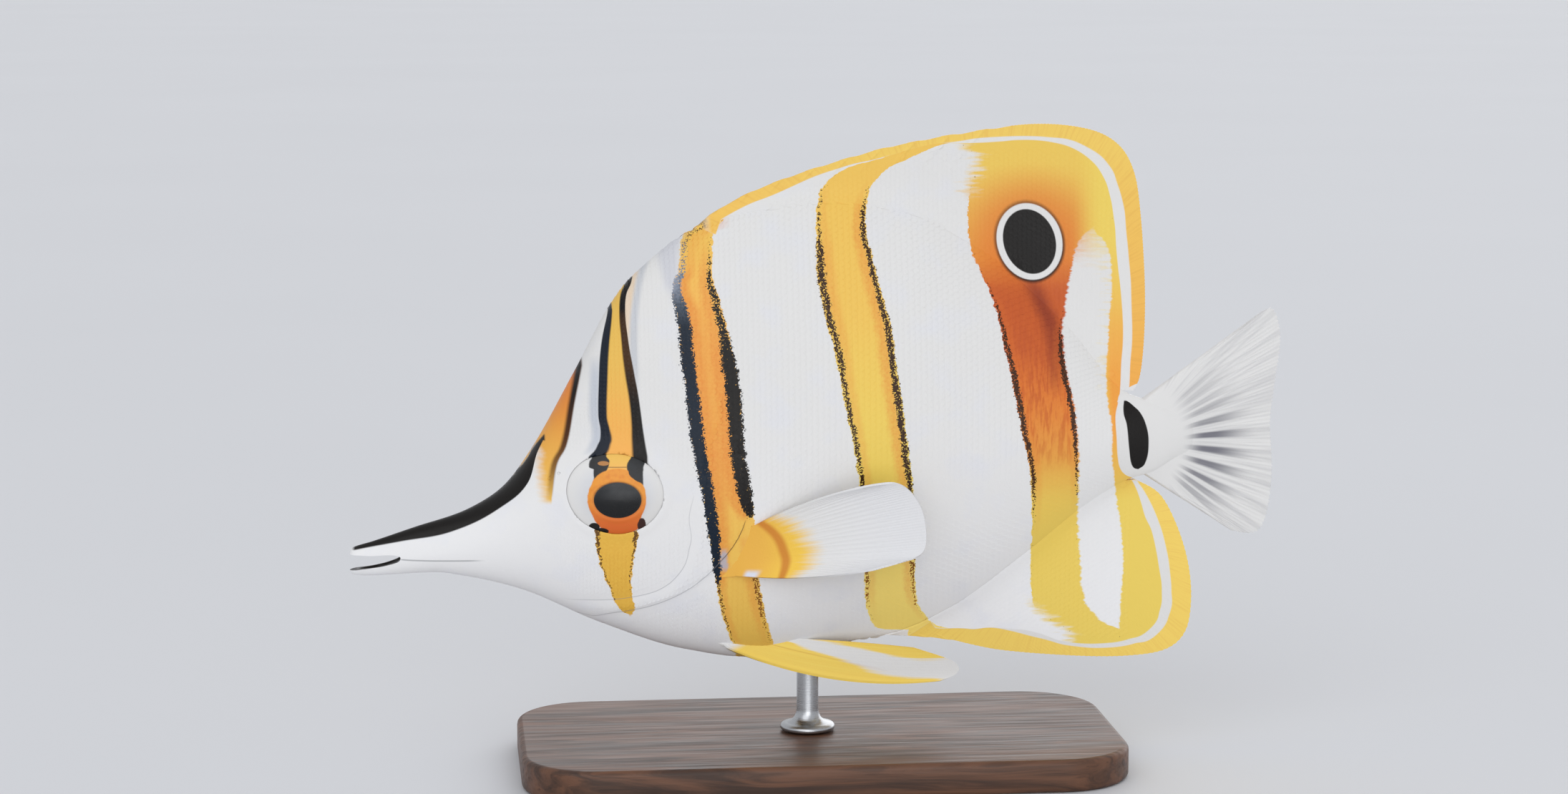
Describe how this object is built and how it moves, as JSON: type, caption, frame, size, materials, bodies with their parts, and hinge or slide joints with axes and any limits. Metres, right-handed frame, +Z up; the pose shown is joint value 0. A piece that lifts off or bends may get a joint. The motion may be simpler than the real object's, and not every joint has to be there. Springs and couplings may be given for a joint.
{
  "type": "copperband butterflyfish",
  "caption": "Life-size still model of a copperband butterflyfish with a long snout, high disc-shaped body and rayed fins, held over a flat base by one short rod.",
  "frame": {"origin": "middle of the base's underside", "axes": "+Z up, -X the way the snout points, -Y the fish's left side"},
  "size_m": [0.171, 0.056, 0.1173],
  "materials": {
    "scaled_skin": "finely scaled pearl white skin with upright copper-orange bands edged in black, satin",
    "eye": "black pupil in an orange and white iris, wet gloss",
    "yellow_fin": "rayed fin skin, golden yellow and white, satin",
    "clear_fin": "thin rayed fin skin, translucent white, satin",
    "stand_wood": "oiled walnut, fine straight grain",
    "stand_steel": "brushed"
  },
  "bodies": {
    "root": {"torso": "scaled_skin", "head": "scaled_skin", "snout": "scaled_skin", "lower_jaw": "scaled_skin", "tail_stalk": "scaled_skin", "gill_cover_left": "scaled_skin", "gill_cover_right": "scaled_skin", "eye_left": "eye", "eye_right": "eye", "dorsal_fin_spiny": "yellow_fin", "dorsal_fin_soft": "yellow_fin", "anal_fin_spiny": "yellow_fin", "anal_fin_soft": "yellow_fin", "pelvic_fin_left": "yellow_fin", "pelvic_fin_right": "yellow_fin", "tail_fin": "clear_fin", "pectoral_fin_left": "clear_fin", "pectoral_fin_right": "clear_fin", "stand_base": "stand_wood", "stand_rod": "stand_steel"}
  },
  "joints": []
}
